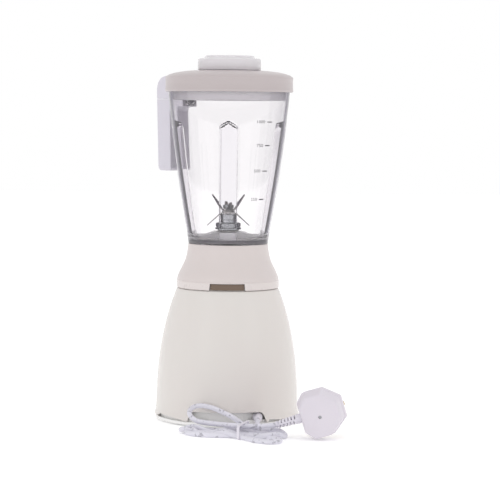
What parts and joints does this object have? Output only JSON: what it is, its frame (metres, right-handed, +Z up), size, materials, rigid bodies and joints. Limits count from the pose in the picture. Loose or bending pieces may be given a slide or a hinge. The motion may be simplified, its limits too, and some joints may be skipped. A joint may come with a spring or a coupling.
{
  "type": "countertop blender",
  "caption": "Countertop blender with a bell-shaped motor base, clear ribbed jar with handle, lid with measuring cap, blade unit and folded mains lead with a flat-pin plug.",
  "frame": {"origin": "on the drive axis, at the middle of the base, in the plane that the feet stand on", "axes": "+Z up along the drive axis; -Y towards the side where the cord leaves the base; +Y towards the speed knob; the jar's handle points to the -X, +Y quarter"},
  "size_m": [0.198, 0.264, 0.378],
  "materials": {
    "cream_plastic": "smooth glossy moulding",
    "neck_plastic": "smooth glossy moulding",
    "tan_plastic": "satin, shaded",
    "white_plastic": "fine satin moulding",
    "lid_plastic": "smooth glossy moulding",
    "plug_plastic": "smooth satin moulding",
    "milky_plastic": "milky, smooth",
    "clear_jar": "clear moulded plastic with a faint violet tint",
    "dark_insert": "dark glossy",
    "black_plastic": "satin",
    "grey_rubber": "matt",
    "white_rubber": "matt",
    "cord_pvc": "soft satin sheath",
    "pin_brass": "machined",
    "screw_steel": "zinc plated",
    "shaft_steel": "ground",
    "bracket_steel": "pressed sheet",
    "blade_steel": "ground and polished",
    "lamination_steel": "stacked sheet edges",
    "bearing_bronze": "sintered",
    "copper_winding": "enamelled wire",
    "commutator_copper": "turned copper",
    "carbon": "pressed carbon"
  },
  "bodies": {
    "base": {"body_housing": "cream_plastic", "neck_housing": "neck_plastic", "notch_panel": "tan_plastic", "base_plate": "white_plastic", "rotary_switch": "black_plastic", "dial_plate": "white_plastic", "cord_gland": "cord_pvc", "foot_1": "grey_rubber", "foot_2": "grey_rubber", "foot_3": "grey_rubber", "foot_4": "grey_rubber", "base_screw_1": "screw_steel", "base_screw_2": "screw_steel", "base_screw_3": "screw_steel", "motor_stator": "lamination_steel", "field_coil_front": "copper_winding", "field_coil_rear": "copper_winding", "motor_bracket_upper": "bracket_steel", "motor_bracket_lower": "bracket_steel", "bearing_upper": "bearing_bronze", "bearing_lower": "bearing_bronze", "motor_bolt_1": "screw_steel", "motor_bolt_2": "screw_steel", "brush_holder_1": "pin_brass", "brush_holder_2": "pin_brass", "carbon_brush_1": "carbon", "carbon_brush_2": "carbon", "mains_cord": "cord_pvc", "cord_loop": "cord_pvc", "cord_lead": "cord_pvc", "cord_hank": "cord_pvc", "plug_body": "plug_plastic", "plug_strain_relief": "cord_pvc", "plug_pin_earth": "pin_brass", "plug_pin_live": "pin_brass", "plug_pin_neutral": "pin_brass"},
    "rotor": {"motor_shaft": "shaft_steel", "armature_core": "lamination_steel", "armature_winding_upper": "copper_winding", "armature_winding_lower": "copper_winding", "commutator": "commutator_copper", "cooling_fan": "black_plastic", "drive_coupling": "black_plastic"},
    "knob": {"speed_knob": "white_plastic", "switch_shaft": "shaft_steel"},
    "jar": {"jar": "clear_jar", "jar_handle": "milky_plastic", "handle_insert": "dark_insert", "blade_bush": "bracket_steel", "blade_seal": "white_rubber", "blade_flange": "bracket_steel"},
    "blades": {"blade_shaft": "shaft_steel", "blade_lower": "blade_steel", "blade_middle": "blade_steel", "blade_upper": "blade_steel", "blade_nut": "screw_steel", "jar_coupling": "black_plastic"},
    "lid": {"lid": "lid_plastic", "lid_gasket": "white_rubber"},
    "cap": {"measuring_cap": "clear_jar"}
  },
  "joints": [
    {"name": "motor_spin", "type": "hinge", "parent": "base", "child": "rotor", "pos_m": [0, 0, 0.1], "axis": [0, 0, 1], "continuous": true},
    {"name": "knob_turn", "type": "hinge", "parent": "base", "child": "knob", "pos_m": [0, 0.075, 0.048], "axis": [0, -1, 0], "range_deg": [-45, 90]},
    {"name": "jar_lift", "type": "slide", "parent": "base", "child": "jar", "axis": [0, 0, 1], "range_m": [0, 0.06]},
    {"name": "blade_spin", "type": "hinge", "parent": "jar", "child": "blades", "pos_m": [0, 0, 0.2], "axis": [0, 0, 1], "continuous": true},
    {"name": "lid_lift", "type": "slide", "parent": "jar", "child": "lid", "axis": [0, 0, 1], "range_m": [0, 0.04]},
    {"name": "cap_lift", "type": "slide", "parent": "lid", "child": "cap", "axis": [0, 0, 1], "range_m": [0, 0.05]}
  ],
  "couplings": [
    {"joint": "blade_spin", "follows": "motor_spin", "ratio": 1}
  ]
}
